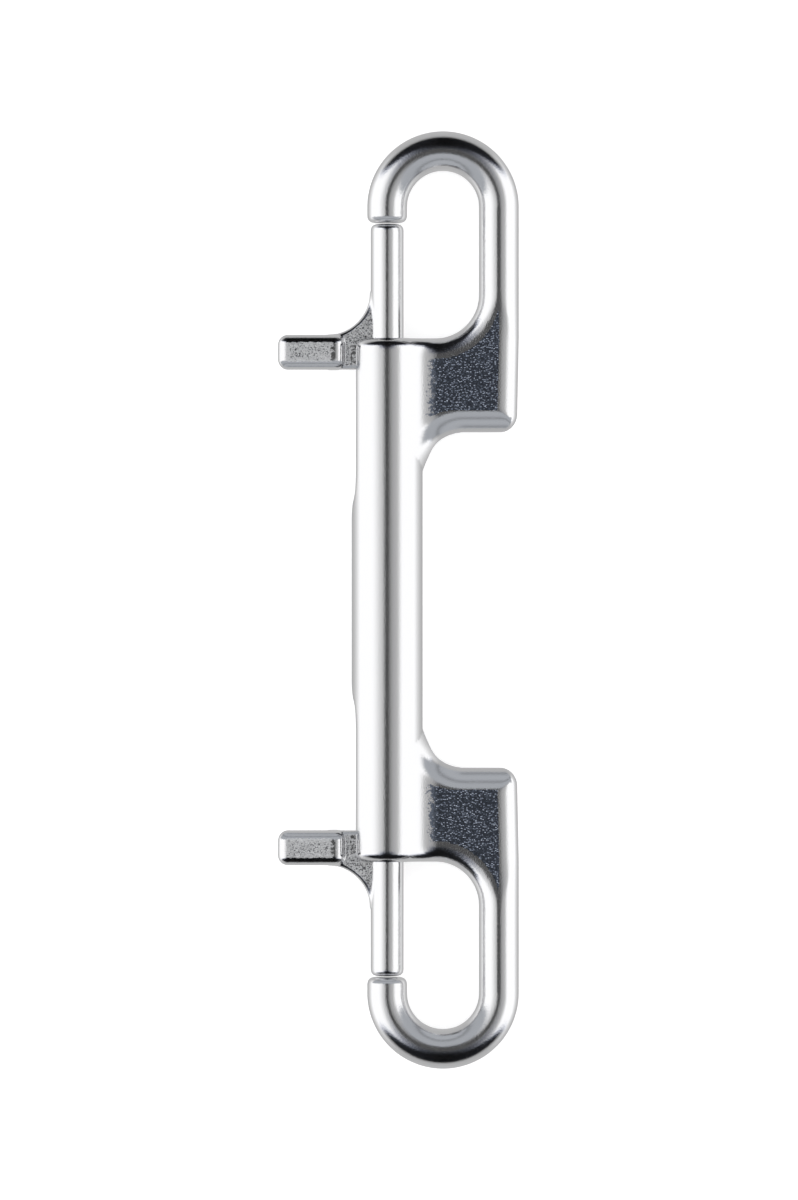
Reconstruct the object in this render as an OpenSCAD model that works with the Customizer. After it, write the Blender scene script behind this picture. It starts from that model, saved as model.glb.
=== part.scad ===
// Double ended bolt snap: one cast frame with a hook at each end, and two
// sprung bolts that close the hooks. It is drawn upright, with the barrel on
// the Z axis, the hooks towards +X and the thumb levers towards -X, and is
// then laid down on its barrel and the backs of its hooks.

/* [Overall] */
// Length over both hook crowns
overall_len = 120; // [114:0.5:132]
// Thickness of the round bar that the hooks are made of
bar_d = 5.1; // [4.8:0.1:5.6]
// Clear width of each eye, from bar to bar
eye_w = 9.2; // [8.8:0.1:11]
// Straight length of the hook's free tip, below its crown
tip_len = 2.05; // [1.8:0.05:3]
// Rounding of the free tip's edge
tip_round = 1.1; // [0.6:0.1:1.6]

/* [Barrel] */
// Outside diameter of the barrel
barrel_d = 9.1; // [8.9:0.1:10]
// Length of the barrel
barrel_len = 67; // [64:0.5:70]
// Rounding of the barrel's end edges
barrel_round = 1.1; // [0.6:0.1:1.3]
// Solid wall between the two bores
divider_t = 2; // [1.5:0.1:3]

/* [Lever slot] */
// Depth of the flat that the lever slides along
land_depth = 0.52; // [0.3:0.02:0.8]
// Distance from the slot's closed end to the start of the flat
land_lead = 4; // [3:0.1:5]
// Radius of the ramp that runs out of the flat
ramp_r = 23; // [15:1:30]
// Gap on each side of the lever in its slot
slot_gap = 0.2; // [0.15:0.05:0.3]
// Spare length of the slot past the lever's travel
slot_over = 0.2; // [0.1:0.1:0.6]

/* [Web] */
// Length of the web along the barrel
web_len = 12.1; // [11.5:0.1:13]
// Thickness of the web
web_t = 5; // [4.6:0.1:5.2]
// Radius of the eye's lower corner
eye_corner_r = 5.6; // [4.5:0.1:6.2]
// Radius of the notch where the web meets the barrel
notch_r = 5.4; // [4.5:0.1:6]
// Radius of the hollow fillets from the web's faces to the barrel
web_fillet_r = 5.9; // [4.5:0.1:6.5]
// Diameter of the bar's rounded foot, below the eye
foot_d = 4.6; // [4.4:0.1:4.8]
// Depth of the sunk field below the web's rounded rim
field_depth = 0.1; // [0.06:0.02:0.2]

/* [Bolt] */
// Diameter of the sliding bolt
bolt_d = 4.2; // [4:0.1:4.4]
// Gap between the bolt and its bore, all round
bolt_gap = 0.05; // [0.04:0.01:0.1]
// Gap between the closed bolt and the hook's tip
gate_gap = 0.15; // [0.1:0.05:0.3]
// Rounding of the bolt's tip
bolt_round = 0.8; // [0.5:0.1:1.2]
// Length of the bolt behind its lever
tail_len = 2.5; // [2:0.1:3]
// How far the bolt slides to open the eye
travel = 15; // [12:0.5:15]

/* [Thumb lever] */
// Distance of the lever's lower edge inside the barrel's end
lever_inset = 4; // [3:0.1:4.5]
// Thickness of the lever where it passes through the slot
lever_t = 2.6; // [2.4:0.1:2.8]
// Length of the thumb pad, away from the barrel
pad_len = 8.5; // [7:0.1:10]
// Width of the thumb pad along the barrel
pad_w = 4.4; // [4:0.1:5]
// Thickness of the thumb pad
pad_t = 5.2; // [4.8:0.1:6]
// Rounding of the thumb pad's edges
pad_round = 1.3; // [0.8:0.1:1.6]
// Gap between the thumb pad and the barrel
pad_gap = 0.9; // [0.7:0.1:1.5]
// Radius of the hollow gusset from the pad up to the bolt
gusset_r = 5.5; // [4.5:0.1:6]

/* [Spring] */
// Wire thickness
wire_d = 0.45; // [0.4:0.05:0.5]
// Outside diameter of the coil
coil_d = 3.7; // [3.4:0.1:3.8]
// Turns in all, with the closed one at each end
turns = 17; // [14:1:18]

/* [Hidden] */
$fn = 96;

// How far a curve is sunk into the next one, so that they cross cleanly
sink = 0.05;
// A straight bar runs this far into a bend, and is this much thinner all round
bar_lap = 0.3;
bar_step = 0.02;

bar_r = bar_d / 2;
barrel_r = barrel_d / 2;
barrel_end_z = barrel_len / 2;
spine_x = eye_w + bar_d;
crown_r = spine_x / 2;
crown_z = overall_len / 2 - bar_r - crown_r;
tip_z = crown_z - tip_len;

// The web's rim is a round bar; its middle line bounds the flat plate
rim_r = web_t / 2;
plate_h = rim_r - field_depth;
web_low_z = barrel_end_z - web_len;
rim_top_z = barrel_end_z - rim_r;
rim_low_z = web_low_z + rim_r;
eye_arc_r = eye_corner_r + rim_r;
eye_arc_x = spine_x - bar_r + sink - eye_corner_r;
eye_arc_z = barrel_end_z + eye_corner_r;
notch_arc_r = notch_r + rim_r;
notch_x = barrel_r - sink + notch_r;
notch_z = web_low_z - notch_r;
foot_r = foot_d / 2;
foot_z = web_low_z + foot_r;
fillet_y = plate_h + web_fillet_r;
fillet_x = sqrt(pow(barrel_r + web_fillet_r, 2) - pow(fillet_y, 2));
fillet_edge_y = 1.2;
fillet_set_back = 1;
fillet_top_z = barrel_end_z - barrel_round;

bolt_r = bolt_d / 2;
bore_r = bolt_r + bolt_gap;
bolt_tip_z = tip_z - gate_gap;
lever_low_z = barrel_end_z - lever_inset;
bolt_tail_z = lever_low_z - tail_len;
tail_round = 0.3;

slot_w = lever_t + 2 * slot_gap;
slot_end_z = lever_low_z - travel - slot_over;
land_x = -(barrel_r - land_depth);
land_z = slot_end_z - slot_w / 2 + land_lead;

pad_in_x = -(barrel_r + pad_gap);
pad_out_x = pad_in_x - pad_len;
pad_top_z = lever_low_z + pad_w;
pad_crease = 0.1;
gusset_x = -(bolt_r + 0.1 + gusset_r);
gusset_z = pad_top_z + gusset_r;
gusset_end_ang = 15;
runout_ang = 23;
runout_x = -(sqrt(pow(bolt_r, 2) - pow(lever_t / 2, 2)) - 0.1);

wire_r = wire_d / 2;
coil_r = coil_d / 2 - wire_r;
spring_gap = 0.03;
spring_low_z = divider_t / 2 + wire_r + spring_gap;
spring_high_z = bolt_tail_z - wire_r - spring_gap;
closed_pitch = wire_d + spring_gap;
open_pitch = (spring_high_z - spring_low_z - 2 * closed_pitch) / (turns - 2);
ring_sides = 6;
rings_per_turn = 16;

// Lying down, the barrel and both hook backs touch the surface
rest_tilt = asin((barrel_r - bar_r) / spine_x);
rest_max_x = spine_x * cos(rest_tilt) + bar_r;
rest_min_x = (pad_out_x + pad_round) * cos(rest_tilt)
    - (pad_t / 2 - pad_round) * sin(rest_tilt) - pad_round;
rest_x = -(rest_max_x + rest_min_x) / 2;

// Lays the upright drawing down, with its front upwards
module at_rest() {
    translate([rest_x, 0, barrel_r])
        rotate([0, rest_tilt, 0])
            rotate([-90, 0, 0])
                children();
}

// Repeats the upper end at the lower end
module both_ends() {
    children();
    mirror([0, 0, 1])
        children();
}

// A flat outline in the XZ plane, made into a slab of the given thickness
module slab(thickness) {
    rotate([90, 0, 0])
        translate([0, 0, -thickness / 2])
            linear_extrude(thickness)
                children();
}

// A rod from the origin up the Z axis, with its far edge rounded
module rounded_rod(r, len, round) {
    rotate_extrude()
        union() {
            square([r, len - round]);
            square([r - round, len]);
            translate([r - round, len - round])
                circle(round);
        }
}

// A rectangle from its lower left corner, with rounded corners
module rounded_rect(size, round) {
    translate([round, 0])
        square([size.x - 2 * round, size.y]);
    translate([0, round])
        square([size.x, size.y - 2 * round]);
    for (x = [round, size.x - round])
        for (y = [round, size.y - round])
            translate([x, y])
                circle(round);
}

// A bent stretch of round bar in the XZ plane
module bent_bar(bend_r, r, from, sweep) {
    rotate([90, 0, 0])
        rotate([0, 0, from])
            rotate_extrude(angle = sweep)
                translate([bend_r, 0])
                    circle(r);
}

module barrel_solid() {
    both_ends()
        rounded_rod(barrel_r, barrel_end_z, barrel_round);
}

module crown_and_tip() {
    translate([crown_r, 0, crown_z])
        bent_bar(crown_r, bar_r, 0, 180);
    translate([0, 0, crown_z + bar_lap])
        mirror([0, 0, 1])
            rounded_rod(bar_r - bar_step, tip_len + bar_lap, tip_round);
}

// The hook's straight back, which narrows to a rounded foot beside the web
module spine() {
    translate([spine_x, 0, 0])
        rotate_extrude()
            intersection() {
                union() {
                    polygon([
                        [0, foot_z],
                        [foot_r, foot_z],
                        [bar_r - bar_step, barrel_end_z],
                        [bar_r - bar_step, crown_z + bar_lap],
                        [0, crown_z + bar_lap]
                    ]);
                    translate([0, foot_z])
                        circle(foot_r);
                }
                square([bar_d, overall_len / 2]);
            }
}

// The round rim along the web's upper and lower edges
module web_rim() {
    translate([0, 0, rim_top_z])
        rotate([0, 90, 0])
            cylinder(h = eye_arc_x, r = rim_r);
    translate([eye_arc_x, 0, eye_arc_z])
        bent_bar(eye_arc_r, rim_r, 270, 90);
    translate([notch_x, 0, rim_low_z])
        rotate([0, 90, 0])
            cylinder(h = spine_x - notch_x, r = rim_r);
    translate([notch_x, 0, notch_z])
        bent_bar(notch_arc_r, rim_r, 90, 90);
}

// The flat field between the rims
module web_plate() {
    slab(2 * plate_h)
        union() {
            translate([0, rim_low_z - sink])
                square([spine_x, rim_top_z - rim_low_z + 2 * sink]);
            difference() {
                translate([eye_arc_x, rim_low_z])
                    square([spine_x - eye_arc_x, eye_arc_z - rim_low_z - sink]);
                translate([eye_arc_x, eye_arc_z])
                    circle(eye_arc_r);
            }
            difference() {
                translate([0, notch_z + sink])
                    square([notch_x, rim_top_z - notch_z]);
                translate([notch_x, notch_z])
                    circle(notch_arc_r);
            }
        }
}

// The hollow fillets that carry the web's faces round into the barrel
module web_fillets() {
    intersection() {
        translate([0, 0, notch_z])
            linear_extrude(barrel_end_z - notch_z)
                for (side = [0, 1])
                    mirror([0, side])
                        difference() {
                            polygon([[0, 0], [fillet_x, 0], [fillet_x, fillet_y]]);
                            translate([fillet_x, fillet_y])
                                circle(web_fillet_r + sink);
                        }
        rotate([90, 0, 90])
            linear_extrude(fillet_x)
                polygon([
                    [-barrel_r, notch_z],
                    [barrel_r, notch_z],
                    [barrel_r, fillet_top_z - barrel_r + fillet_edge_y],
                    [fillet_edge_y, fillet_top_z],
                    [-fillet_edge_y, fillet_top_z],
                    [-barrel_r, fillet_top_z - barrel_r + fillet_edge_y]
                ]);
        difference() {
            translate([0, -barrel_r, notch_z])
                cube([fillet_x, barrel_d, barrel_end_z - notch_z]);
            translate([notch_x, 0, notch_z])
                for (side = [-90, 90])
                    rotate([side, 0, 0]) {
                        cylinder(h = fillet_edge_y, r = notch_r + fillet_set_back);
                        translate([0, 0, fillet_edge_y])
                            cylinder(
                                h = barrel_r,
                                r1 = notch_r + fillet_set_back,
                                r2 = notch_r + fillet_set_back + barrel_r
                            );
                    }
        }
    }
}

module bolt_bore() {
    translate([0, 0, divider_t / 2])
        cylinder(h = barrel_end_z, r = bore_r);
}

// The slot that the lever slides in, open at the barrel's end
module lever_slot() {
    translate([-barrel_d, -slot_w / 2, slot_end_z])
        cube([barrel_d, slot_w, barrel_end_z]);
    translate([-barrel_d, 0, slot_end_z])
        rotate([0, 90, 0])
            cylinder(h = barrel_d, r = slot_w / 2);
}

// The flat on each side of the slot, with the ramp at its closed end
module slot_land() {
    slab(barrel_d)
        union() {
            translate([land_x - barrel_r, land_z])
                square([barrel_r, barrel_end_z]);
            translate([land_x - sink / 2 - ramp_r, land_z])
                circle(ramp_r);
        }
}

module frame_casting() {
    color("gainsboro")
        at_rest()
            difference() {
                union() {
                    barrel_solid();
                    both_ends() {
                        crown_and_tip();
                        spine();
                        web_rim();
                        web_plate();
                        web_fillets();
                    }
                }
                both_ends() {
                    bolt_bore();
                    lever_slot();
                    slot_land();
                }
            }
}

// The lever's blade, with a hollow gusset up to the bolt
module lever_blade() {
    end_r = gusset_r - sink;
    end_x = gusset_x + end_r * cos(gusset_end_ang);
    end_z = gusset_z - end_r * sin(gusset_end_ang);
    slab(lever_t)
        difference() {
            polygon([
                [pad_in_x - pad_round, lever_low_z],
                [0, lever_low_z],
                [0, end_z + (runout_x - end_x) / tan(runout_ang)],
                [runout_x, end_z + (runout_x - end_x) / tan(runout_ang)],
                [end_x, end_z],
                [gusset_x, end_z],
                [gusset_x, pad_top_z],
                [pad_in_x - pad_round, pad_top_z - sink]
            ]);
            translate([gusset_x, gusset_z])
                circle(gusset_r);
        }
}

// The thumb pad, rounded on all its edges
module thumb_pad() {
    intersection() {
        translate([pad_out_x, 0, lever_low_z])
            slab(pad_t + 2)
                rounded_rect([pad_len, pad_w], pad_round);
        translate([pad_out_x - pad_crease, -pad_t / 2, lever_low_z - 1])
            linear_extrude(pad_w + 2)
                rounded_rect([pad_len + 2 * pad_crease, pad_t], pad_round);
        translate([pad_out_x - 1, -pad_t / 2, lever_low_z - pad_crease])
            rotate([90, 0, 90])
                linear_extrude(pad_len + 2)
                    rounded_rect([pad_t, pad_w + 2 * pad_crease], pad_round);
    }
}

module sliding_bolt() {
    translate([0, 0, lever_low_z])
        rounded_rod(bolt_r, bolt_tip_z - lever_low_z, bolt_round);
    translate([0, 0, lever_low_z])
        mirror([0, 0, 1])
            rounded_rod(bolt_r, tail_len, tail_round);
    lever_blade();
    thumb_pad();
}

module upper_bolt() {
    color("silver")
        at_rest()
            sliding_bolt();
}

module lower_bolt() {
    color("silver")
        at_rest()
            mirror([0, 0, 1])
                sliding_bolt();
}

// Height of the coil's middle line after so many turns
function coil_z(t) = t < 1
    ? spring_low_z + t * closed_pitch
    : t < turns - 1
        ? spring_low_z + closed_pitch + (t - 1) * open_pitch
        : spring_high_z - (turns - t) * closed_pitch;

// One corner of the wire's section, after so many turns
function coil_point(t, corner) =
    let (out = coil_r + wire_r * cos(corner * 360 / ring_sides))
    let (up = coil_z(t) + wire_r * sin(corner * 360 / ring_sides))
    [out * cos(t * 360), out * sin(t * 360), up];

module coil_spring() {
    rings = turns * rings_per_turn;
    points = [
        for (ring = [0:rings])
            for (corner = [0:ring_sides - 1])
                coil_point(ring / rings_per_turn, corner)
    ];
    walls = [
        for (ring = [0:rings - 1])
            for (corner = [0:ring_sides - 1])
                let (here = ring * ring_sides)
                let (next = (corner + 1) % ring_sides)
                [here + corner, here + next, here + ring_sides + next, here + ring_sides + corner]
    ];
    first = [for (corner = [0:ring_sides - 1]) ring_sides - 1 - corner];
    last = [for (corner = [0:ring_sides - 1]) rings * ring_sides + corner];
    polyhedron(points = points, faces = concat([first], walls, [last]));
}

module upper_spring() {
    color("lightsteelblue")
        at_rest()
            coil_spring();
}

module lower_spring() {
    color("lightsteelblue")
        at_rest()
            mirror([0, 0, 1])
                coil_spring();
}

frame_casting();
upper_bolt();
lower_bolt();
upper_spring();
lower_spring();
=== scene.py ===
# %% [markdown]
# # A double ended bolt snap
# A bolt snap is a steel clip for divers, riggers and dog walkers. This one has a hook at each end
# of one barrel, and in the barrel two sprung bolts that close the hooks. It lies on a white table,
# and the camera looks straight down on the plane of the hooks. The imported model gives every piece
# its place, so the lesson starts by loading it.

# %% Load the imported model
import math

import bpy
import numpy as np
from mathutils import Matrix, Vector


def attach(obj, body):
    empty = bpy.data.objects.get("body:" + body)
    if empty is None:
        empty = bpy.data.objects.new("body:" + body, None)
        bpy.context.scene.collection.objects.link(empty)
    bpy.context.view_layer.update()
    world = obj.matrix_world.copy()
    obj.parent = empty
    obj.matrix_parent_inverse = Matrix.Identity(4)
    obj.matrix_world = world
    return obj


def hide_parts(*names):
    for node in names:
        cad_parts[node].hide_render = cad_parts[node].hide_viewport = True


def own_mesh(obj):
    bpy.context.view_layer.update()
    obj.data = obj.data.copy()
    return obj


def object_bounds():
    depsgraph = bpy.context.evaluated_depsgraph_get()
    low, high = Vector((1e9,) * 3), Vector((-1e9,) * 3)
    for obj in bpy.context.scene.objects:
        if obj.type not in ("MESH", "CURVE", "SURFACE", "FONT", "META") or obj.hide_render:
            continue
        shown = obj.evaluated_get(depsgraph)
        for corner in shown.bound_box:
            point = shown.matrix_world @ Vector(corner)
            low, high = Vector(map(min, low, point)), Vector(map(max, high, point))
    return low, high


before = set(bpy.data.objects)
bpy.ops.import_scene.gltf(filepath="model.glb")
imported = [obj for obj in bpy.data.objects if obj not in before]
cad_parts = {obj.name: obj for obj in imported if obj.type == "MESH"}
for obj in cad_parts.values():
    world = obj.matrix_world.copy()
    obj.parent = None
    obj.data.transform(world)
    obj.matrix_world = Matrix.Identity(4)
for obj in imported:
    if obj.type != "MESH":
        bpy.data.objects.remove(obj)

cad_low, cad_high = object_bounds()
print("CAD box in mm:", [round(1000 * (b - a), 2) for a, b in zip(cad_low, cad_high)])

# %% [markdown]
# ## Sizes
# All sizes are in millimetres, in a flat drawing of the snap: u runs from the barrel's middle line
# to the hooks' backs, v along the barrel to the upper hook, and w up to the viewer. The two ends
# are alike, so most pieces are described once, for the upper end. The sizes that several pieces
# share come first, and a piece's own sizes come with it. Here the spine is the straight back of a
# hook, the crown its round end, and the web the flat part that joins the hook to the barrel.

# %% The shared sizes, in millimetres
OVERALL = 120.0
BAR_R = 2.55  # the round bar of the hooks
EYE_W = 9.2
TIP_LEN = 2.05  # the straight end of a hook, past its crown
BARREL_R = 4.55
BARREL_HALF = 33.5
DIVIDER_HALF = 1.0  # half the wall between the two bores
TRAVEL = 15.0  # of each bolt
TAIL_LEN = 2.5  # of a bolt, past its lever
LEVER_INSET = 4.0  # from the barrel's end to the lever's low side

# %% Places that follow from them
SPINE_U = EYE_W + 2 * BAR_R
CROWN_R = SPINE_U / 2
CROWN_V = OVERALL / 2 - BAR_R - CROWN_R
TIP_V = CROWN_V - TIP_LEN
LEVER_LOW_V = BARREL_HALF - LEVER_INSET
BOLT_TAIL_V = LEVER_LOW_V - TAIL_LEN
print("hooks' tips at v", round(TIP_V, 2), "and levers from v", round(LEVER_LOW_V, 2))

# %% The snap laid down on the table
# The barrel and both spines touch the table, which turns the drawing a little about the barrel
REST_TILT = math.asin((BARREL_R - BAR_R) / SPINE_U)
# The spines are the highest X of the model, so they give the barrel's place
BARREL_X = 1000 * cad_high.x - BAR_R - SPINE_U * math.cos(REST_TILT)
MM = 0.001
LAID_DOWN = (
    Matrix.Translation((BARREL_X * MM, 0, BARREL_R * MM))
    @ Matrix.Rotation(REST_TILT, 4, "Y")
    @ Matrix.Scale(MM, 4)
)
print("rest tilt in degrees:", round(math.degrees(REST_TILT), 2), "barrel at x", round(BARREL_X, 3))

# %% [markdown]
# ## A shape from its distances
# A casting has no sharp inner corners: every bar runs into the next with a fillet. Extruded and
# joined solids would need each fillet cut by hand. A distance function makes them simple: it says
# how far a point is from the surface, less than zero inside, and a fillet is only a softer way to
# join two distances. The surface is then the mesh where the distance is zero.

# %% Ways to join distances
def rounded_corner(a, b, radius):
    """Inside of both a < 0 and b < 0, with the corner between them rounded."""
    qa, qb = a + radius, b + radius
    outside = np.hypot(np.maximum(qa, 0), np.maximum(qb, 0))
    return np.minimum(np.maximum(qa, qb), 0) + outside - radius


def soft_max(a, b, width):
    """The larger of two distances, with the crease between them rounded over a width."""
    near = np.maximum(width - np.abs(a - b), 0) / width
    return np.maximum(a, b) + near * near * width / 4


def soft_min(a, b, width):
    """The smaller of two distances, with the crease filled over a width."""
    return -soft_max(-a, -b, width)


def ramp(x, low, high):
    """0 below low, 1 above high, and a smooth step between."""
    t = np.clip((x - low) / (high - low), 0, 1)
    return t * t * (3 - 2 * t)


print("a crease softened over 1 mm rises by", soft_max(0.0, 0.0, 1.0), "mm")

# %% [markdown]
# ## From distances to a mesh
# The mesher lays a grid of cells over the piece. Each cell that the surface passes through gets
# one vertex, and each grid edge that crosses the surface gets one quad between the four cells
# around it. The vertices are then spread evenly and pulled onto the surface, and the shading
# normals come from the distances themselves, so that a polished bar reflects without a ripple.

# %% The surface mesher
def net_cells(field, axes):
    """One vertex for each cell of the grid that the surface crosses, and the cells' numbers."""
    inside = field < 0
    shape = np.array(field.shape) - 1
    count = np.zeros(shape, np.int8)
    for i in (0, 1):
        for j in (0, 1):
            for k in (0, 1):
                count += inside[i:i + shape[0], j:j + shape[1], k:k + shape[2]]
    live = (count > 0) & (count < 8)
    cells = np.argwhere(live)
    number = np.full(shape, -1, np.int64)
    number[live] = np.arange(len(cells))
    total, hits = np.zeros((len(cells), 3)), np.zeros(len(cells))
    for axis in range(3):
        others = [a for a in range(3) if a != axis]
        for b in (0, 1):
            for c in (0, 1):
                start = cells.copy()
                start[:, others[0]] += b
                start[:, others[1]] += c
                end = start.copy()
                end[:, axis] += 1
                f0, f1 = field[tuple(start.T)], field[tuple(end.T)]
                cross = (f0 < 0) != (f1 < 0)
                share = np.where(cross, f0 / np.where(cross, f0 - f1, 1), 0)
                p0 = np.stack([axes[a][start[:, a]] for a in range(3)], 1)
                p0[:, axis] += share * (axes[axis][end[:, axis]] - p0[:, axis])
                total[cross] += p0[cross]
                hits += cross
    return total / hits[:, None], number


def net_quads(field, number):
    """A quad round each grid edge that crosses the surface, with its face outwards."""
    inside = field < 0
    quads = []
    for axis in range(3):
        b, c = (axis + 1) % 3, (axis + 2) % 3
        low = np.take(inside, range(inside.shape[axis] - 1), axis)
        high = np.take(inside, range(1, inside.shape[axis]), axis)
        edges = np.argwhere(low != high)
        edges = edges[(edges[:, b] > 0) & (edges[:, c] > 0)]
        edges = edges[(edges[:, b] < number.shape[b]) & (edges[:, c] < number.shape[c])]
        leaving = low[tuple(edges.T)]
        ring = []
        for db, dc in ((-1, -1), (0, -1), (0, 0), (-1, 0)):
            cell = edges.copy()
            cell[:, b] += db
            cell[:, c] += dc
            ring.append(number[tuple(cell.T)])
        ring = np.stack(ring, 1)
        quads.append(np.where(leaving[:, None], ring, ring[:, ::-1]))
    return np.concatenate(quads)


# %% Settling the mesh on the surface
PROBE = 0.01  # how far to either side a slope is measured
FLAT_SLOPE = 0.25  # below this a squared slope is no guide, and steps stay short


def slope(points, distance):
    """The direction in which the distance grows, at each point."""
    out = np.empty_like(points)
    for axis in range(3):
        step = np.zeros(3)
        step[axis] = PROBE
        ahead, behind = points + step, points - step
        out[:, axis] = (distance(*ahead.T) - distance(*behind.T)) / (2 * PROBE)
    return out


def settle(points, distance, rounds):
    """The points, pulled onto the surface along the slope."""
    for _ in range(rounds):
        g = slope(points, distance)
        size = np.maximum((g * g).sum(1), FLAT_SLOPE)
        points = points - g * (distance(*points.T) / size)[:, None]
    return points


def spread(points, quads, share):
    """Each vertex moves a share of the way to the middle of its neighbours."""
    starts = quads.ravel()
    ends = np.roll(quads, -1, 1).ravel()
    total, links = np.zeros_like(points), np.zeros(len(points))
    for a, b in ((starts, ends), (ends, starts)):
        for axis in range(3):
            total[:, axis] += np.bincount(a, points[b, axis], len(points))
        links += np.bincount(a, minlength=len(points))
    return points + share * (total / links[:, None] - points)


# %% The grid, and the whole mesher
def stations(*stretches):
    """Grid lines along one axis, from stretches of (start, end, step)."""
    lines = [np.linspace(a, b, max(2, round((b - a) / step) + 1))[:-1] for a, b, step in stretches]
    return np.append(np.concatenate(lines), stretches[-1][1])


def surface(distance, axes):
    """The vertices, outward quads and unit normals of a piece, in the drawing's millimetres."""
    field = distance(*np.meshgrid(*axes, indexing="ij"))
    points, number = net_cells(field, axes)
    quads = net_quads(field, number)
    for _ in range(4):
        points = settle(spread(points, quads, 0.5), distance, 1)
    points = settle(points, distance, 3)
    normals = slope(points, distance)
    return points, quads, normals / np.linalg.norm(normals, axis=1)[:, None]


# %% [markdown]
# ## The frame casting
# The barrel, both webs and both hooks are one casting. Seen flat, the hook's back and the web are
# one outline, cut from a slab whose edges are rounded, so that it is a round bar where it is
# narrow. Where it is wide, polishing has left a broad rim along each edge, which slopes up to the
# flat field between them. A hollow fillet carries the field round into the barrel.

# %% The flat outline of the web and the spine
WEB_LEN = 12.1
WEB_LOW_V = BARREL_HALF - WEB_LEN
EYE_CORNER_R = 5.6
NOTCH_R = 5.4
FOOT_R = 2.3  # the spine's foot, where the web ends


def eye_side(u, v):
    """How far a point of the flat outline is from the eye, less than zero in the steel."""
    return -rounded_corner(u - (SPINE_U - BAR_R), BARREL_HALF - v, EYE_CORNER_R)


def notch_side(u, v, notch_r=NOTCH_R):
    """The same from the notch between the web and the barrel."""
    return -rounded_corner(BARREL_R - u, v - WEB_LOW_V, notch_r)


def outer_side(u, v, notch_r=NOTCH_R):
    """The same from the hook's back and the notch together, with the foot rounded."""
    foot = BAR_R + (FOOT_R - BAR_R) * np.clip((BARREL_HALF - v) / WEB_LEN, 0, 1)
    return rounded_corner(u - SPINE_U - foot, notch_side(u, v, notch_r), FOOT_R)


print("web from v", round(WEB_LOW_V, 2), "to", BARREL_HALF, "and spine at u", round(SPINE_U, 2))

# %% The hook and the web, in the round
WEB_HALF_T = 2.3
TIP_EASE = 1.0
NOTCH_RIM_R = 3.9
SIDE_REACH, SIDE_TOP_R = 2.85, 4.0  # how far in the spine's rim slopes, and its curve at the top
EYE_REACH, EYE_TOP_R = 2.9, 6.5  # the same for the rim along the eye
RIMS_FULL_V, RIMS_GONE_V = BARREL_HALF - 1, BARREL_HALF + 6.5


def rim(past, w, half_t, radius):
    """A slab's round edge: an arc that may be wider than the slab is thick."""
    lift = radius - half_t
    past = past + np.sqrt(radius ** 2 - lift ** 2)
    return np.hypot(np.maximum(past, 0), np.abs(w) + lift) - radius


def hook(u, v, w):
    """A slab with rims for the web and the spine, and a round bar for the crown and the tip."""
    half_t = WEB_HALF_T + (BAR_R - WEB_HALF_T) * ramp(v, BARREL_HALF, BARREL_HALF + EYE_CORNER_R)
    on_web = 1 - ramp(v, RIMS_FULL_V, RIMS_GONE_V)
    eye = rim(np.maximum(eye_side(u, v), -u), w, half_t, half_t)
    notch = rim(notch_side(u, v), w, half_t, half_t + (NOTCH_RIM_R - WEB_HALF_T) * on_web)
    side = soft_max(rim(outer_side(u, v), w, half_t, half_t), notch, 0.02 + 0.1 * on_web)
    fall = np.maximum(SIDE_REACH + outer_side(u, v), 0) ** 2 / (2 * SIDE_TOP_R)
    fall += np.maximum(EYE_REACH + eye_side(u, v), 0) ** 2 / (2 * EYE_TOP_R)
    width = 0.02 + 0.23 * on_web
    back = soft_max(np.maximum(eye, side), np.abs(w) - half_t + fall * on_web, width)
    tip = soft_max(np.hypot(u, w) - BAR_R, TIP_V - v, TIP_EASE)
    bend = np.hypot(u - CROWN_R, v - CROWN_V) - CROWN_R
    return np.where(v > CROWN_V, np.hypot(bend, w) - BAR_R, np.minimum(back, tip))


print("steel at the crown's middle:", round(-float(hook(CROWN_R, CROWN_V + CROWN_R, 0.0)), 3), "mm")

# %% The fillet between the web and the barrel
WEB_FILLET_R = 6.1
FILLET_V = WEB_HALF_T + WEB_FILLET_R
FILLET_U = math.sqrt((BARREL_R + WEB_FILLET_R) ** 2 - FILLET_V ** 2)
FADE_LOW_V, FADE_HIGH_V = 14.0, 19.0  # below the web the fillet sinks into the barrel
FILLET_TOP_EASE = 0.6
FAR_AWAY = 9.0


def web_fillet(to_barrel, to_hook, v):
    """The hollow fillet between the barrel and the web, from the distance to each."""
    out = BARREL_R + to_barrel
    up = WEB_HALF_T + to_hook
    along = np.sqrt(np.maximum(out * out - up * up, 0))
    du, dv = along - FILLET_U, up - FILLET_V
    beside = (du <= 0) & (dv * FILLET_U - du * FILLET_V <= 0)
    ball = WEB_FILLET_R - np.hypot(du, dv)
    faded = ball + 1 - ramp(v, FADE_LOW_V, FADE_HIGH_V)
    capped = soft_max(faded, v - BARREL_HALF, FILLET_TOP_EASE)
    return np.where(beside, capped, FAR_AWAY)


print("the fillet's centre is", round(FILLET_U, 2), "out from the barrel's middle line")

# %% The barrel, its bores and slots
BARREL_EASE = 1.7
BORE_R = 2.15
SLOT_HALF_W = 1.5
SLOT_OVER = 0.2  # what is left of the slot when a bolt is drawn back
SLOT_END_V = LEVER_LOW_V - TRAVEL - SLOT_OVER
SLOT_EASE = 0.3
LAND_DEPTH = 0.52  # of the flat beside each slot
LAND_V = SLOT_END_V - SLOT_HALF_W + 4.0  # where the flat starts to rise
RAMP_R = 23.0
LAND_EASE = 0.35
UNDER_CAD = 0.005  # keeps the skin just inside the model's box


def lever_slot(u, v, w):
    side = np.where(v > SLOT_END_V, np.abs(w), np.hypot(v - SLOT_END_V, w)) - SLOT_HALF_W
    return np.maximum(side, u)


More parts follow.
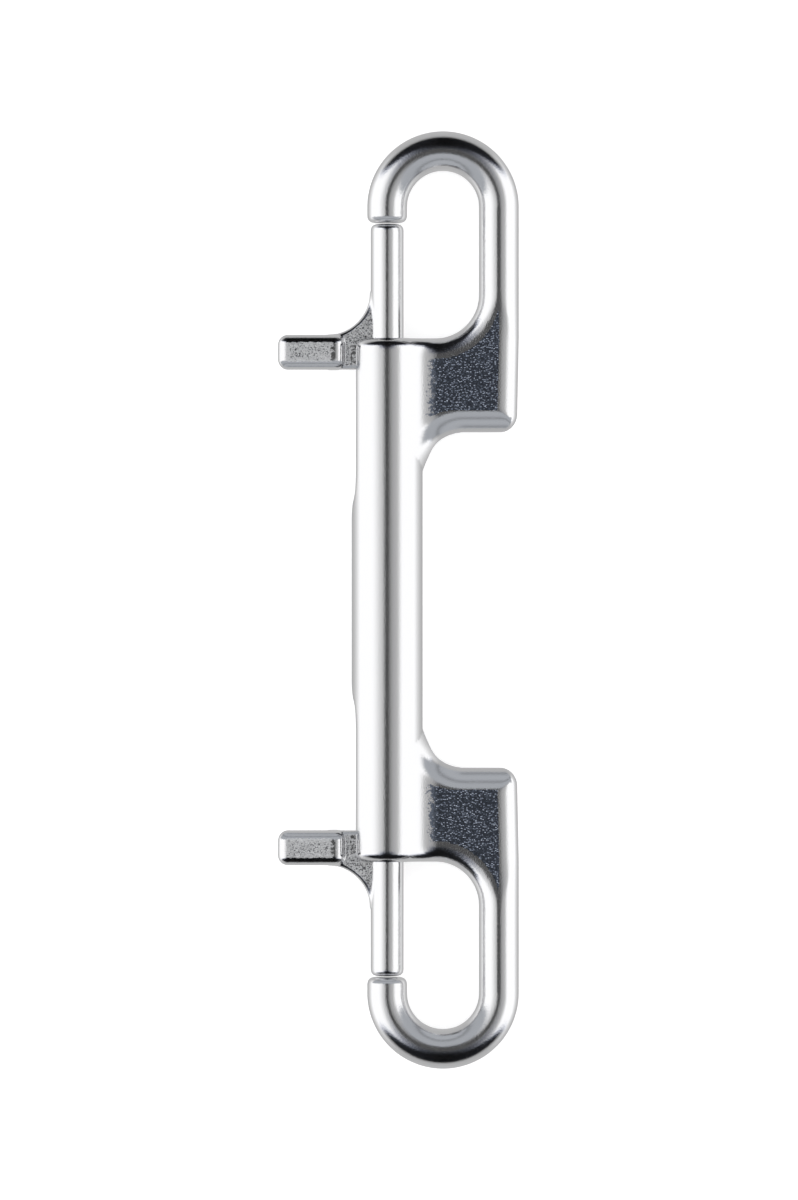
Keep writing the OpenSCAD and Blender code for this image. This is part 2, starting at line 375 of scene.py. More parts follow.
def land(v):
    """How far the flat beside the slot lies from the barrel's middle line."""
    drop = np.clip(LAND_V - v, 0, RAMP_R)
    return BARREL_R - LAND_DEPTH + RAMP_R - np.sqrt(RAMP_R ** 2 - drop ** 2)


def frame_distance(u, v, w):
    v = np.abs(v)
    around = np.hypot(u, w)
    barrel = soft_max(around - BARREL_R, v - BARREL_HALF, BARREL_EASE)
    hooks = hook(u, v, w)
    solid = np.minimum(np.minimum(barrel, hooks), web_fillet(barrel, hooks, v))
    open_end = v - BARREL_HALF - 1
    bore = np.maximum(np.maximum(around - BORE_R, DIVIDER_HALF - v), open_end)
    slot = np.maximum(lever_slot(u, v, w), open_end)
    hollow = soft_min(bore, slot, SLOT_EASE / 2)
    solid = soft_max(solid, -hollow, SLOT_EASE)
    past_land = np.where(open_end < 0, -u - land(v), -FAR_AWAY)
    return soft_max(solid, past_land, LAND_EASE) + UNDER_CAD


print("slot down to v", round(SLOT_END_V - SLOT_HALF_W, 2), "and its flat from", round(LAND_V, 2))

# %% The mesh of the frame casting
FINE, MIDDLING, COARSE = 0.2, 0.35, 0.5  # steps along v: fine at edges, coarse on straight bars
ACROSS = 0.22
MARGIN = 0.5
half_v = stations(
    (0.0, 0.8, COARSE),
    (0.8, 1.4, FINE),
    (1.4, 12.0, COARSE),
    (12.0, 17.2, FINE),
    (17.2, 20.8, MIDDLING),
    (20.8, 24.6, FINE),
    (24.6, 31.6, MIDDLING),
    (31.6, 34.6, FINE),
    (34.6, 47.8, COARSE),
    (47.8, 49.8, FINE),
    (49.8, OVERALL / 2 + 0.6, MIDDLING),
)
frame_axes = (
    stations((-BARREL_R - MARGIN, SPINE_U + BAR_R + MARGIN, ACROSS)),
    np.append(-half_v[:0:-1], half_v),
    stations((-BARREL_R - MARGIN, BARREL_R + MARGIN, ACROSS)),
)
frame_points, frame_quads, frame_normals = surface(frame_distance, frame_axes)
print("frame casting:", len(frame_points), "vertices,", 2 * len(frame_quads), "triangles")

# %% [markdown]
# Polishing reaches the rims and bars, but not the field of the web: there the sandy skin of the
# mould stays. A number on each vertex, 1 on that skin and 0 on the polish, tells the material
# which is which. It falls off slowly in the fillet, where single grains are left in the polish.

# %% Where the frame keeps its cast skin
FIELD_CORNER_R = 4.0


def frame_skin(points, normals):
    u, v = points[:, 0], np.abs(points[:, 1])
    in_from_side = ramp(-outer_side(u - 0.3, v, FIELD_CORNER_R), 2.7, 3.0)
    in_from_eye = ramp(-eye_side(u, v), 2.55, 2.85)
    out_of_fillet = ramp(u, 3.9, 7.4)
    level = ramp(np.abs(normals[:, 2]), 0.55, 0.9)
    return in_from_side * in_from_eye * level * out_of_fillet


# %% Making a piece of the snap
def piece(name, points, quads, normals, skin, mirrored=False):
    """A finished mesh object, laid down in its place, that carries its skin numbers."""
    points, normals = points.copy(), normals.copy()
    if mirrored:
        points[:, 1] *= -1
        normals[:, 1] *= -1
        quads = quads[:, ::-1]
    turn = np.array(LAID_DOWN.to_3x3())
    mesh = bpy.data.meshes.new(name)
    mesh.vertices.add(len(points))
    mesh.vertices.foreach_set("co", (points @ turn.T + np.array(LAID_DOWN.translation)).ravel())
    mesh.loops.add(quads.size)
    mesh.loops.foreach_set("vertex_index", quads.ravel())
    mesh.polygons.add(len(quads))
    mesh.polygons.foreach_set("loop_start", np.arange(0, quads.size, 4))
    mesh.update(calc_edges=True)
    mesh.polygons.foreach_set("use_smooth", np.ones(len(quads), bool))
    mesh.normals_split_custom_set_from_vertices((normals @ turn.T / MM).tolist())
    mesh.attributes.new("skin", "FLOAT", "POINT").data.foreach_set("value", skin.astype(np.float32))
    mesh.validate()
    made = bpy.data.objects.new(name, mesh)
    bpy.context.scene.collection.objects.link(made)
    return made


casting = piece(
    "casting", frame_points, frame_quads, frame_normals, frame_skin(frame_points, frame_normals)
)
print("casting's width in mm:", round(1000 * casting.dimensions.x, 2))

# %% [markdown]
# ## The sliding bolts
# Each bolt is cast with its thumb lever: a round rod, a thin blade that passes through the slot in
# the barrel, a pad for the thumb, and a hollow gusset that stiffens the blade. The gusset thins
# towards its top, because it has to slide into the slot when the hook is opened.

# %% The sizes of a bolt
BOLT_R = 2.1
BOLT_TIP_V = TIP_V - 0.15  # a small gap to the hook's tip
BOLT_EASE = 0.9
TAIL_ROUND = 0.3
LEVER_HALF_T = 1.3
BLADE_ROUND = 0.6
PAD_LEN, PAD_W, PAD_HALF_T = 8.5, 4.4, 2.6
PAD_ROUND = 1.25
PAD_IN_U = -(BARREL_R + 0.9)  # the pad stands clear of the barrel
PAD_OUT_U = PAD_IN_U - PAD_LEN
PAD_TOP_V = LEVER_LOW_V + PAD_W
PAD_MIDDLE = ((PAD_IN_U + PAD_OUT_U) / 2, LEVER_LOW_V + PAD_W / 2, 0)
GUSSET_R = 5.5
GUSSET_END_V = PAD_TOP_V + GUSSET_R
GUSSET_THINS = 0.6
print("bolt's length:", round(BOLT_TIP_V - BOLT_TAIL_V, 2), "and its pad's outer end:", PAD_OUT_U)

# %% The distances of a bolt
def rod(u, v, w):
    around = np.hypot(u, w) - BOLT_R
    front = soft_max(around, v - BOLT_TIP_V, BOLT_EASE)
    rear = rounded_corner(around, BOLT_TAIL_V - v, TAIL_ROUND)
    return np.where(v > LEVER_LOW_V, front, rear)


def blade(u, v, w):
    hollow = rounded_corner(u + BOLT_R + 0.1, PAD_TOP_V - v, GUSSET_R)
    outline = np.maximum(np.maximum(-hollow, LEVER_LOW_V - v), np.maximum(u, PAD_IN_U - 2 - u))
    outline = np.maximum(outline, v - GUSSET_END_V)
    half_t = LEVER_HALF_T - GUSSET_THINS * ramp(v, PAD_TOP_V + 1, GUSSET_END_V)
    return rounded_corner(outline, np.abs(w) - half_t, BLADE_ROUND)


def pad(u, v, w):
    half = np.array([PAD_LEN / 2, PAD_W / 2, PAD_HALF_T]) - PAD_ROUND
    q = [np.abs(x - m) - h for x, m, h in zip((u, v, w), PAD_MIDDLE, half)]
    outside = np.sqrt(sum(np.maximum(x, 0) ** 2 for x in q))
    return outside + np.minimum(np.maximum(np.maximum(q[0], q[1]), q[2]), 0) - PAD_ROUND


def bolt_distance(u, v, w):
    return soft_min(soft_min(rod(u, v, w), blade(u, v, w), 0.25), pad(u, v, w), 0.3)


# %% The mesh of a bolt
BOLT_FINE, BOLT_COARSE = 0.14, 0.3
BOLT_MARGIN = 0.4
bolt_axes = (
    stations((PAD_OUT_U - BOLT_MARGIN, BOLT_R + BOLT_MARGIN, BOLT_FINE)),
    stations(
        (BOLT_TAIL_V - BOLT_MARGIN, BOLT_TAIL_V + 0.8, BOLT_FINE),
        (BOLT_TAIL_V + 0.8, LEVER_LOW_V - BOLT_MARGIN, BOLT_COARSE),
        (LEVER_LOW_V - BOLT_MARGIN, GUSSET_END_V + BOLT_MARGIN, BOLT_FINE),
        (GUSSET_END_V + BOLT_MARGIN, BOLT_TIP_V - 1.2, BOLT_COARSE),
        (BOLT_TIP_V - 1.2, BOLT_TIP_V + BOLT_MARGIN, BOLT_FINE),
    ),
    stations((-PAD_HALF_T - BOLT_MARGIN, PAD_HALF_T + BOLT_MARGIN, BOLT_FINE)),
)
bolt_points, bolt_quads, bolt_normals = surface(bolt_distance, bolt_axes)
print("bolt:", len(bolt_points), "vertices,", 2 * len(bolt_quads), "triangles")

# %% [markdown]
# The rod and all rounded edges of a bolt are polished, and the flat sides of its lever are satin.
# Painted shade: beside the barrel and at the pad's inner end, only part of the satin is left.

# %% Where a bolt keeps its satin
SATIN_LEFT_IN_SHADE = 0.32  # the share of the satin that is left where shade is painted


def bolt_skin(points, normals):
    u, v, w = points.T
    pad_u, pad_v = u - PAD_IN_U, v - PAD_MIDDLE[1]
    flat = ramp(rod(u, v, w), 0.05, 0.2) * ramp(np.abs(normals[:, 2]), 0.94, 0.993)
    # Painted shade: the satin thins beside the barrel and in a patch at the pad's inner end, where
    # the barrel shades the lever, so the polish there mirrors the dark tent
    clear_of_barrel_shade = np.maximum(ramp(-u, 4.6, 5.1), ramp(v, BARREL_HALF - 1.1, BARREL_HALF - 0.4))
    clear_of_pad_shade = ramp(np.hypot((pad_u + 1.35) / 0.42, pad_v / 1.2), 0.4, 2.0)
    from_rim = np.minimum(np.minimum(u - PAD_OUT_U, -pad_u), PAD_W / 2 - np.abs(pad_v))
    on_pad = ramp(0.3 - pad_u, 0, 0.3)
    depth = 1.25 - on_pad * (0.5 - 0.25 * ramp(from_rim - PAD_ROUND, -0.25, 0.7))
    for clear in (clear_of_barrel_shade, clear_of_pad_shade):
        depth = depth * (SATIN_LEFT_IN_SHADE + (1 - SATIN_LEFT_IN_SHADE) * clear)
    return flat * depth


bolt_mesh = bolt_points, bolt_quads, bolt_normals, bolt_skin(bolt_points, bolt_normals)
upper = piece("upper_sliding_bolt", *bolt_mesh)
lower = piece("lower_sliding_bolt", *bolt_mesh, mirrored=True)
print("satin on", round(100 * float((bolt_mesh[3] > 0.5).mean())), "percent of a bolt's points")

# %% [markdown]
# ## Node helpers
# Materials, the springs and the light all use node trees. A few small helpers add nodes and links,
# so that each tree reads as a short list.

# %% Helpers for node trees
def add(tree, kind, inputs=None, **settings):
    """A new node with its settings, and its inputs given as values or as sockets to link."""
    node = tree.nodes.new(kind)
    for key, value in settings.items():
        setattr(node, key, value)
    for key, value in (inputs or {}).items():
        if isinstance(value, bpy.types.NodeSocket):
            tree.links.new(value, node.inputs[key])
        else:
            node.inputs[key].default_value = value
    return node


def sums(tree, operation, *values, clamp=False):
    """The result of one Math node."""
    inputs = dict(enumerate(values))
    return add(tree, "ShaderNodeMath", inputs, operation=operation, use_clamp=clamp).outputs[0]


def blend(tree, factor, a, b):
    """A number between a and b."""
    return add(tree, "ShaderNodeMix", {0: factor, 2: a, 3: b}).outputs[0]


def blend_colour(tree, factor, a, b, how="MIX"):
    """A colour between a and b, or b laid over a in another way."""
    inputs = {0: factor, 6: a, 7: b}
    return add(tree, "ShaderNodeMix", inputs, data_type="RGBA", blend_type=how).outputs[2]


def smooth_step(tree, value, low, high):
    """0 below low, 1 above high, and a smooth step between."""
    inputs = {"Value": value, "From Min": low, "From Max": high}
    return add(tree, "ShaderNodeMapRange", inputs, interpolation_type="SMOOTHSTEP").outputs[0]


# %% [markdown]
# ## Steel
# The polish is a mirror with a very fine grain, which frays the edges of what it reflects. The cast
# skin is darker and bluer, and its grains of sand stand up enough to catch the light one by one.
# The satin of the levers has higher grains, and a few dark pits between them. All of it is made of
# noise, which stays sharp from close by and is set by a few numbers.

# %% The steel material
POLISH = (0.80, 0.80, 0.81, 1)
PIT_COLOUR = (0.12, 0.12, 0.13, 1)
BEAD_SHARE = 0.42  # a grain's radius, as a share of its cell
FRAY = 1.3  # how far the grain moves the skin's edge
GRAIN_SCALE, GRIT_SCALE, BEAD_SCALE, PIT_SCALE, RIPPLE_SCALE = 2600, 3600, 4400, 5200, 6000


def steel(name, polish, skin_colour, bead_colour, skin_roughness, bead_height, pit_depth):
    mat = bpy.data.materials.new(name)
    mat.use_nodes = True
    tree = mat.node_tree
    shader = tree.nodes["Principled BSDF"]
    where = add(tree, "ShaderNodeTexCoord").outputs["Object"]
    mark = add(tree, "ShaderNodeAttribute", attribute_name="skin").outputs["Fac"]

    def grain(scale, detail):
        inputs = {"Vector": where, "Scale": scale, "Detail": detail, "Roughness": 0.6}
        return add(tree, "ShaderNodeTexNoise", inputs).outputs["Fac"]

    def mask(low, high):
        """The skin number, with an edge frayed by the grain, and none where the number is 0."""
        frayed = sums(tree, "MULTIPLY_ADD", sums(tree, "SUBTRACT", fray, 0.5), FRAY, mark)
        soft = smooth_step(tree, frayed, low, high)
        return sums(tree, "MULTIPLY", soft, sums(tree, "GREATER_THAN", mark, 0.02))

    fray = grain(GRAIN_SCALE, 3)
    skin, gritty, pitting = mask(0.3, 0.6), mask(0.1, 1.1), mask(0.75, 1.2)

    # One round grain in each cell, of any height
    cells = add(tree, "ShaderNodeTexVoronoi", {"Vector": where, "Scale": BEAD_SCALE}).outputs
    across = sums(tree, "DIVIDE", cells["Distance"], BEAD_SHARE)
    across = sums(tree, "MULTIPLY", across, across)
    bead = sums(tree, "MULTIPLY_ADD", across, -1.0, 1.0, clamp=True)
    size = add(tree, "ShaderNodeSeparateColor", {0: cells["Color"]}).outputs[0]
    bead = sums(tree, "MULTIPLY", bead, sums(tree, "POWER", size, 1.5))

    # The colour, with pits under the grains
    inputs = {"Value": grain(PIT_SCALE, 3), "From Min": 0.5, "From Max": 0.59}
    pit = add(tree, "ShaderNodeMapRange", inputs).outputs[0]
    pit = sums(tree, "MULTIPLY", sums(tree, "MULTIPLY", pit, pit_depth), pitting)
    pitted = blend_colour(tree, pit, skin_colour, PIT_COLOUR)
    pitted = blend_colour(tree, bead, pitted, bead_colour)
    tree.links.new(blend_colour(tree, skin, polish, pitted), shader.inputs["Base Color"])
    shader.inputs["Metallic"].default_value = 1.0
    haze = sums(tree, "MULTIPLY_ADD", grain(500, 2), 0.05, 0.07)
    tree.links.new(blend(tree, skin, haze, skin_roughness), shader.inputs["Roughness"])

    # The relief: a faint ripple everywhere, and the sand on the skin
    inputs = {"Strength": 1.0, "Distance": 1.3e-5, "Height": grain(RIPPLE_SCALE, 2)}
    ripple = add(tree, "ShaderNodeBump", inputs).outputs[0]
    sand = sums(tree, "MULTIPLY_ADD", grain(GRIT_SCALE, 2), 0.4, bead)
    inputs = {"Strength": gritty, "Distance": bead_height, "Height": sand, "Normal": ripple}
    grit = add(tree, "ShaderNodeBump", inputs).outputs[0]
    tree.links.new(grit, shader.inputs["Normal"])
    return mat


FIELD, FIELD_BEAD = (0.22, 0.255, 0.325, 1), (0.8, 0.86, 0.98, 1)
SATIN, SATIN_BEAD = (0.98, 0.98, 0.98, 1), (1.0, 1.0, 1.0, 1)
# The numbers are the skin's roughness, its grains' height in metres, and how deep its pits are
polished_casting = steel("polished_casting_steel", POLISH, FIELD, FIELD_BEAD, 0.1, 7.5e-5, 0.0)
polished_bolt = steel("polished_bolt_steel", POLISH, SATIN, SATIN_BEAD, 0.45, 1.5e-4, 1.0)
casting.data.materials.append(polished_casting)
upper.data.materials.append(polished_bolt)
lower.data.materials.append(polished_bolt)
print("steels:", polished_casting.name, "and", polished_bolt.name)

# %% [markdown]
# ## The springs
# A coil spring follows a rule: so many turns at one radius, closed up at both ends and open
# between. Geometry Nodes make it from a line whose points are wound into a coil, with the wire as
# a tube round it. The sizes are named inputs, so the same tree makes both springs.

# %% The spring's node tree
COIL_INPUTS = {
    "Turns": 17.0, "Coil radius": 1.6, "Wire radius": 0.2, "Closed pitch": 0.5, "Length": 25.0,
}
POINTS_PER_TURN = 24.0
WIRE_SIDES = 10


def coil_tree(material):
    """A spring along +Y from the origin, and the identifiers of the tree's inputs."""
    tree = bpy.data.node_groups.new("coil_spring", "GeometryNodeTree")
    sockets = {}
    for label, value in COIL_INPUTS.items():
        socket = tree.interface.new_socket(label, in_out="INPUT", socket_type="NodeSocketFloat")
        socket.default_value = value
        sockets[label] = socket.identifier
    tree.interface.new_socket("Geometry", in_out="OUTPUT", socket_type="NodeSocketGeometry")
    given = tree.nodes.new("NodeGroupInput").outputs
    turns, pitch = given["Turns"], given["Closed pitch"]
    line = add(tree, "GeometryNodeCurvePrimitiveLine")
    count = sums(tree, "MULTIPLY", turns, POINTS_PER_TURN)
    points = add(tree, "GeometryNodeResampleCurve", {"Curve": line.outputs[0], "Count": count})
    share = add(tree, "GeometryNodeSplineParameter").outputs["Factor"]
    turn = sums(tree, "MULTIPLY", share, turns)
    angle = sums(tree, "MULTIPLY", turn, math.tau)

    # The first and the last turn rise by the closed pitch, and those between share what is left
    open_turns = sums(tree, "SUBTRACT", turns, 2.0)
    room = sums(tree, "SUBTRACT", given["Length"], sums(tree, "MULTIPLY", pitch, 2.0))
    first = sums(tree, "MINIMUM", turn, 1.0)
    middle = sums(tree, "MAXIMUM", sums(tree, "SUBTRACT", turn, 1.0), 0.0)
    middle = sums(tree, "MINIMUM", middle, open_turns)
    last = sums(tree, "SUBTRACT", turn, sums(tree, "SUBTRACT", turns, 1.0))
    last = sums(tree, "MAXIMUM", last, 0.0)
    closed = sums(tree, "MULTIPLY", sums(tree, "ADD", first, last), pitch)
    opened = sums(tree, "MULTIPLY", middle, sums(tree, "DIVIDE", room, open_turns))
    place = add(tree, "ShaderNodeCombineXYZ", {
        "X": sums(tree, "MULTIPLY", sums(tree, "COSINE", angle), given["Coil radius"]),
        "Y": sums(tree, "ADD", closed, opened),
        "Z": sums(tree, "MULTIPLY", sums(tree, "SINE", angle), given["Coil radius"]),
    })
    inputs = {"Geometry": points.outputs[0], "Position": place.outputs[0]}
    wound = add(tree, "GeometryNodeSetPosition", inputs)
    inputs = {"Resolution": WIRE_SIDES, "Radius": given["Wire radius"]}
    wire = add(tree, "GeometryNodeCurvePrimitiveCircle", inputs)
    inputs = {"Curve": wound.outputs[0], "Profile Curve": wire.outputs["Curve"], "Fill Caps": True}
    tube = add(tree, "GeometryNodeCurveToMesh", inputs)
    smooth = add(tree, "GeometryNodeSetShadeSmooth", {"Geometry": tube.outputs[0]})
    real = add(tree, "GeometryNodeRealizeInstances", {"Geometry": smooth.outputs[0]})
    done = add(tree, "GeometryNodeSetMaterial", {"Geometry": real.outputs[0], "Material": material})
    tree.links.new(done.outputs[0], tree.nodes.new("NodeGroupOutput").inputs[0])
    return tree, sockets


# %% Making the two springs
WIRE_R = 0.225
COIL_R = 1.85 - WIRE_R  # the spring's outside is 3.7 mm wide
COIL_TURNS = 17.0
COIL_GAP = 0.03  # at both ends, and between the closed turns
COIL_LOW_V = DIVIDER_HALF + WIRE_R + COIL_GAP
COIL_HIGH_V = BOLT_TAIL_V - WIRE_R - COIL_GAP
WIRE_GREY = (0.62, 0.63, 0.65, 1)
spring_wire = steel("spring_wire_steel", WIRE_GREY, WIRE_GREY, WIRE_GREY, 0.2, 1e-5, 0.0)
coil, coil_inputs = coil_tree(spring_wire)


def spring(name, mirrored):
    """A finished spring, laid down in its place in the barrel."""
    holder = bpy.data.objects.new(name + "_nodes", bpy.data.meshes.new(name + "_nodes"))
    bpy.context.scene.collection.objects.link(holder)
    nodes = holder.modifiers.new("coil", "NODES")
    nodes.node_group = coil
    for label, value in {
        "Turns": COIL_TURNS,
        "Coil radius": COIL_R,
        "Wire radius": WIRE_R,
        "Closed pitch": 2 * WIRE_R + COIL_GAP,
        "Length": COIL_HIGH_V - COIL_LOW_V,
    }.items():
        nodes[coil_inputs[label]] = value
    evaluated = holder.evaluated_get(bpy.context.evaluated_depsgraph_get())
    mesh = bpy.data.meshes.new_from_object(evaluated)
    mesh.name = name
    bpy.data.objects.remove(holder)
    place = LAID_DOWN @ Matrix.Translation((0, COIL_LOW_V, 0))
    if mirrored:
        place = Matrix.Scale(-1, 4, (0, 1, 0)) @ place
    mesh.transform(place)
    if mirrored:
        mesh.flip_normals()
    made = bpy.data.objects.new(name, mesh)
    bpy.context.scene.collection.objects.link(made)
    print(name, len(mesh.polygons), "faces")
    return made


upper_coil = spring("upper_coil", False)
lower_coil = spring("lower_coil", True)

# %% [markdown]
# ## Joining the pieces to the model
# Each piece now rides on its CAD body and stands for its CAD node. A spring stays in the barrel,
# with a mesh of its own.

# %% Bodies and nodes
for made, body, node, slot in (
    (casting, "frame", "frame_casting", "polished_casting"),
    (upper, "upper_gate", "upper_bolt", "polished_bolt"),
    (lower, "lower_gate", "lower_bolt", "polished_bolt"),
    (upper_coil, "frame", "upper_spring", "spring_wire"),
    (lower_coil, "frame", "lower_spring", "spring_wire"),
):
    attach(made, body)
    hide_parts(node)
    print(made.name, "rides on", body, "for", node)

for made, joint, side in ((upper_coil, "upper_slide", 1), (lower_coil, "lower_slide", -1)):
    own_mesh(made)

# %% [markdown]
# ## The studio
# Polished steel has no look of its own: it shows the room. Here the room is a light tent that only
# reflections see, and the light on the table itself is plain and even. The table glows a little, so
# that it stays white beside the snap. Reflections don't see it: the tent's underside takes its
# place, because a real table is darker under the snap than further out.

# %% The table
TABLE_HALF = 3.0
TABLE_WHITE = (0.88, 0.88, 0.88, 1)
TABLE_GLOW = 0.5


def table_material():
    """White paint that also glows where the camera sees it."""
    mat = bpy.data.materials.new("white_table")
    mat.use_nodes = True
    tree = mat.node_tree
    tree.nodes.clear()
    path = add(tree, "ShaderNodeLightPath").outputs
    lit = add(tree, "ShaderNodeBsdfDiffuse", {"Color": TABLE_WHITE}).outputs[0]
    inputs = {"Color": (1, 1, 1, 1), "Strength": TABLE_GLOW}
    glow = add(tree, "ShaderNodeEmission", inputs).outputs[0]
    seen = sums(tree, "MAXIMUM", path["Is Camera Ray"], path["Is Transmission Ray"])
    bright = add(tree, "ShaderNodeAddShader", {0: lit, 1: glow}).outputs[0]
    shaded = add(tree, "ShaderNodeMixShader", {0: seen, 1: lit, 2: bright})
    add(tree, "ShaderNodeOutputMaterial", {"Surface": shaded.outputs[0]})
    return mat


table_mesh = bpy.data.meshes.new("table")
corners = [(x * TABLE_HALF, y * TABLE_HALF, 0) for x, y in ((-1, -1), (1, -1), (1, 1), (-1, 1))]
table_mesh.from_pydata(corners, [], [(0, 1, 2, 3)])
table = bpy.data.objects.new("table", table_mesh)
bpy.context.scene.collection.objects.link(table)
table_mesh.materials.append(table_material())
table.visible_glossy = False
print("table:", 2 * TABLE_HALF, "m wide")

# %% [markdown]
# What the tent shows depends only on the direction in which a reflection looks, so it is written as
# lists of angles in degrees and grey levels. That is quicker to set than lamps and boards: the
# curve of a bar turns each angle into a line along the bar, at its own place in the picture.

# %% Light by direction
def levels(tree, value, stops):
    """A grey level that follows a value through a list of (value, level) stops."""
    node = add(tree, "ShaderNodeValToRGB", {0: value})
    marks = node.color_ramp.elements
    while len(marks) < len(stops):
        marks.new(0.5)
    for mark, (position, level) in zip(marks, stops):
        mark.position = position
        mark.color = (level, level, level, 1)
    return node.outputs[0]


def by_angle(tree, value, stops, span, middle=0.0):
    """The same, with each stop's value as an angle: span degrees make 1, and 0 is the middle."""
    return levels(tree, value, [(middle + angle / span, grey) for angle, grey in stops])


# %% [markdown]
# What faces the middle of the snap, such as the notches and the pads' lower sides, would mirror
# the tent's other dark end. On the real snap it is an even grey, so a grey card stands across the
# barrel's middle, with a gap for the barrel. Only reflections see it. Like a louvre it is clear for
# what looks along it, and it fades for what is close by, so that no edge of it shows on the barrel.

# %% The louvred card between the two ends
CARD_NEAR, CARD_FAR = 0.003, 0.02  # from none of it to all of it, in metres
CARD_TINT = (0.96, 1.0, 1.06, 1)


def louvre_material():
    """A grey glow for what looks at the card squarely, and clear for what looks along it."""
    mat = bpy.data.materials.new("louvred_card")
    mat.use_nodes = True
    tree = mat.node_tree
    tree.nodes.clear()
    facing = add(tree, "ShaderNodeLayerWeight", {"Blend": 0.5}).outputs["Facing"]
    squarely = sums(tree, "ARCSINE", sums(tree, "SUBTRACT", 1.0, facing))
    squarely = sums(tree, "DIVIDE", squarely, math.pi / 2)
    shown = by_angle(tree, squarely, ((0, 0), (12, 0), (18, 1.0), (90, 1.0)), 90)
    reach = add(tree, "ShaderNodeLightPath").outputs["Ray Length"]
    shown = sums(tree, "MULTIPLY", shown, smooth_step(tree, reach, CARD_NEAR, CARD_FAR))
    glow = by_angle(tree, squarely, (
        (0, 0.46), (40, 0.45), (47, 0.38), (52, 0.25),
        (57, 0.44), (66, 0.48), (80, 0.46), (88, 0.3),
    ), 90)
    tinted = blend_colour(tree, 1.0, glow, CARD_TINT, "MULTIPLY")
    lamp = add(tree, "ShaderNodeEmission", {"Color": tinted, "Strength": 1.0}).outputs[0]
    clear = add(tree, "ShaderNodeBsdfTransparent").outputs[0]
    mix = add(tree, "ShaderNodeMixShader", {0: shown, 1: clear, 2: lamp})
    add(tree, "ShaderNodeOutputMaterial", {"Surface": mix.outputs[0]})
    return mat


CARD_HALF = 0.6
GAP_HALF, GAP_Z = 0.006, 0.0095  # the barrel's gap, in metres
GAP_LOW_X, GAP_HIGH_X = BARREL_X * MM - GAP_HALF, BARREL_X * MM + GAP_HALF
card_mesh = bpy.data.meshes.new("louvred_card")
outline = [
    (GAP_HIGH_X, GAP_Z), (GAP_LOW_X, GAP_Z), (GAP_LOW_X, 0), (-CARD_HALF, 0),
    (-CARD_HALF, CARD_HALF), (CARD_HALF, CARD_HALF), (CARD_HALF, 0), (GAP_HIGH_X, 0),
]
faces = [(1, 2, 3), (1, 3, 4), (0, 1, 4, 5), (0, 5, 6), (0, 6, 7)]
card_mesh.from_pydata([(x, 0, z) for x, z in outline], [], faces)
card = bpy.data.objects.new("louvred_card", card_mesh)
bpy.context.scene.collection.objects.link(card)
card_mesh.materials.append(louvre_material())
card.visible_camera = False
card.visible_diffuse = False
card.visible_shadow = False
card.visible_transmission = False
print("card:", len(card_mesh.polygons), "faces, with a gap of", round(2 * GAP_HALF, 3), "m")

# %% [markdown]
# Two long soft boxes fill the tent's left and right, with a darker strip straight above, where the
# camera looks through. The tent's two ends are dark, and a little less so at the horizon. So the
# bars get bright flanks and dark middle lines, and the crowns get dark outer ends. Below the
# horizon a lighter underside takes over, brightest out to the sides.

# %% The light tent
END_TINT = (0.92, 1.0, 1.25, 1)  # the dark ends are bluer
TENT_GLOW = 1.25


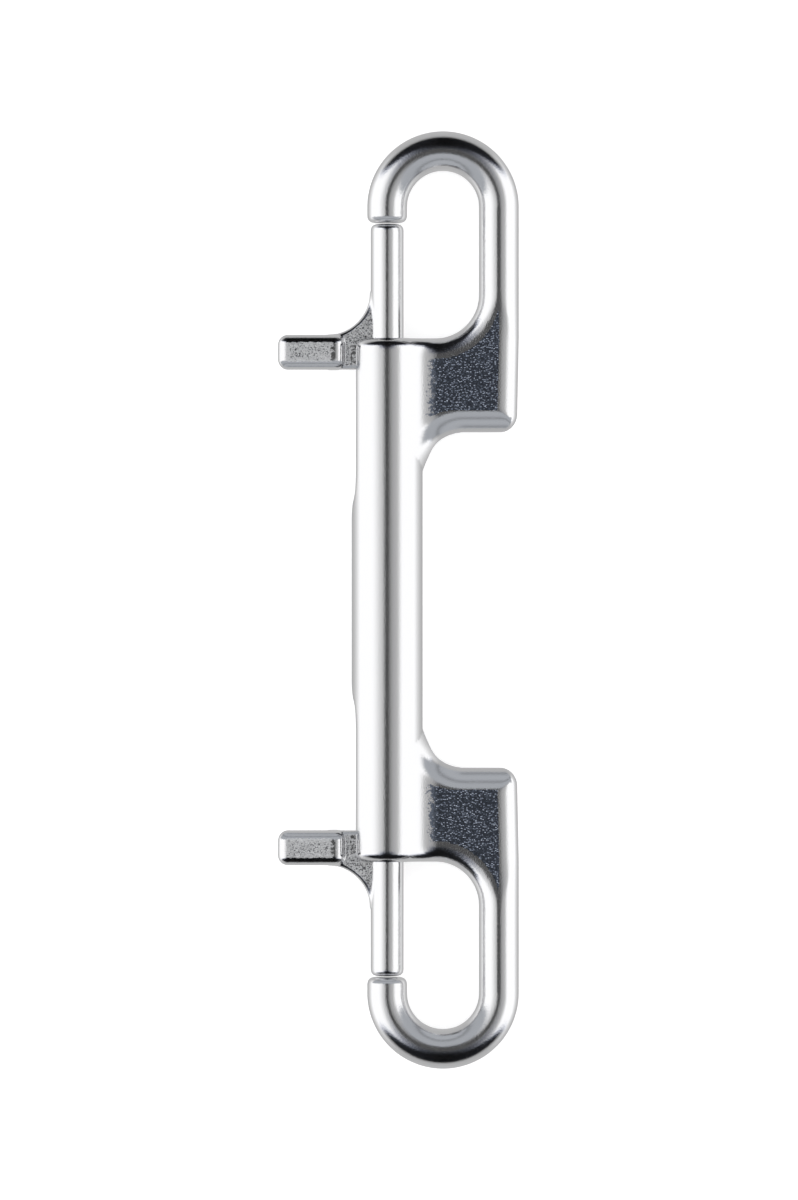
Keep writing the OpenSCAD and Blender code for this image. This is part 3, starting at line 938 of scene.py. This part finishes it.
def tent(world):
    """The room by direction, turned with the plane of the hooks, and white for the camera."""
    world.use_nodes = True
    tree = world.node_tree
    tree.nodes.clear()
    path = add(tree, "ShaderNodeLightPath").outputs
    look = add(tree, "ShaderNodeTexCoord").outputs["Generated"]
    inputs = {"Vector": look, "Angle": -REST_TILT}
    turned = add(tree, "ShaderNodeVectorRotate", inputs, rotation_type="Y_AXIS").outputs[0]
    x, y, z = add(tree, "ShaderNodeSeparateXYZ", {0: turned}).outputs
    side, end = sums(tree, "ABSOLUTE", x), sums(tree, "ABSOLUTE", y)
    across = sums(tree, "DIVIDE", sums(tree, "ARCTAN2", x, z), math.pi)
    across = sums(tree, "MULTIPLY_ADD", across, 0.5, 0.5)
    along = sums(tree, "DIVIDE", sums(tree, "ARCSINE", end), math.pi / 2)
    down = sums(tree, "DIVIDE", sums(tree, "ARCCOSINE", z), math.pi)

    # The soft boxes from left to right, with 0 straight above
    boxes = by_angle(tree, across, (
        (-50, 1.0), (-43, 0.95), (-39, 0.9), (-33, 0.8), (-26, 0.67), (-20, 0.585),
        (-15, 0.51), (-11, 0.41), (-7, 0.14), (-4, 0.06), (0, 0.05), (3, 0.06),
        (6.5, 0.13), (10, 0.23), (13, 0.29), (19, 0.35), (26, 0.4), (33, 0.44),
        (38, 0.56), (42, 0.76), (46, 0.93), (51, 1.0),
    ), 360, 0.5)

    # The fall to the dark ends, earlier in the middle than at the sides
    end_middle = by_angle(tree, along, (
        (0, 1.0), (6, 1.0), (12, 0.78), (17, 0.45),
        (23, 0.2), (28.5, 0.08), (35, 0.02), (45, 0.008),
    ), 90)
    end_sides = by_angle(tree, along, ((0, 1.0), (27, 1.0), (32, 0.6), (36, 0.03), (45, 0.008)), 90)
    ends = blend_colour(tree, levels(tree, side, [(0.2, 0), (0.5, 1.0)]), end_middle, end_sides)
    cool = blend_colour(tree, ends, END_TINT, (1, 1, 1, 1))
    above = blend_colour(tree, 1.0, boxes, ends, "MULTIPLY")
    above = blend_colour(tree, 1.0, above, cool, "MULTIPLY")

    # The horizon and the underside, with 0 straight above and 180 straight below
    horizon = by_angle(tree, down, (
        (78, 0), (82, 0.025), (85, 0.09), (88.5, 0.25), (98, 0.4),
    ), 180)
    above = blend_colour(tree, 1.0, above, horizon, "LIGHTEN")
    flat = sums(tree, "ADD", sums(tree, "MULTIPLY", x, x), sums(tree, "MULTIPLY", y, y))
    sideways = sums(tree, "DIVIDE", side, sums(tree, "SQRT", flat))
    beside = by_angle(tree, down, (
        (98, 1.0), (108, 0.84), (118, 0.68), (130, 0.54), (147, 0.42), (180, 0.36),
    ), 180)
    endways = by_angle(tree, down, ((98, 0.44), (112, 0.42), (130, 0.45), (180, 0.45)), 180)
    to_sides = levels(tree, sideways, [(0.6, 0), (0.95, 1.0)])
    beneath = blend_colour(tree, to_sides, endways, beside)
    under = by_angle(tree, down, ((98, 0), (107, 1)), 180)
    room = blend_colour(tree, under, above, beneath)

    shown = add(tree, "ShaderNodeBackground", {"Color": room, "Strength": TENT_GLOW}).outputs[0]
    plain = add(tree, "ShaderNodeBackground", {"Color": (1, 1, 1, 1), "Strength": 1.0}).outputs[0]
    mix = add(tree, "ShaderNodeMixShader", {0: path["Is Glossy Ray"], 1: plain, 2: shown})
    add(tree, "ShaderNodeOutputWorld", {"Surface": mix.outputs[0]})


world = bpy.data.worlds.new("light_tent")
bpy.context.scene.world = world
tent(world)
print("tent:", len(world.node_tree.nodes), "nodes")

# %% [markdown]
# ## The camera
# The photograph is taken from far away with a long lens, square to the plane of the hooks, with the
# middle of the snap in the middle of the picture.

# %% The camera
LENS = 250.0
SENSOR = 36.0
PICTURE_H = 153.6  # what the picture's height shows of the drawing, in its millimetres
AIM_U = 1.52  # the middle of the picture in the drawing
aim = LAID_DOWN @ Vector((AIM_U, 0, 0))
towards = (LAID_DOWN.to_3x3() @ Vector((0, 0, 1))).normalized()
camera = bpy.data.cameras.new("camera")
camera.lens = LENS
camera.sensor_width = SENSOR
camera.clip_start = 0.01
camera.clip_end = 20.0
viewer = bpy.data.objects.new("camera", camera)
bpy.context.scene.collection.objects.link(viewer)
distance = PICTURE_H * MM * LENS / SENSOR
up = Vector((0, 1, 0))
turn = Matrix((up.cross(towards), up, towards)).transposed().to_4x4()
viewer.matrix_world = Matrix.Translation(aim + towards * distance) @ turn
bpy.context.scene.camera = viewer
bpy.context.scene.view_settings.view_transform = "Standard"
print("camera:", round(distance, 3), "m from the snap")
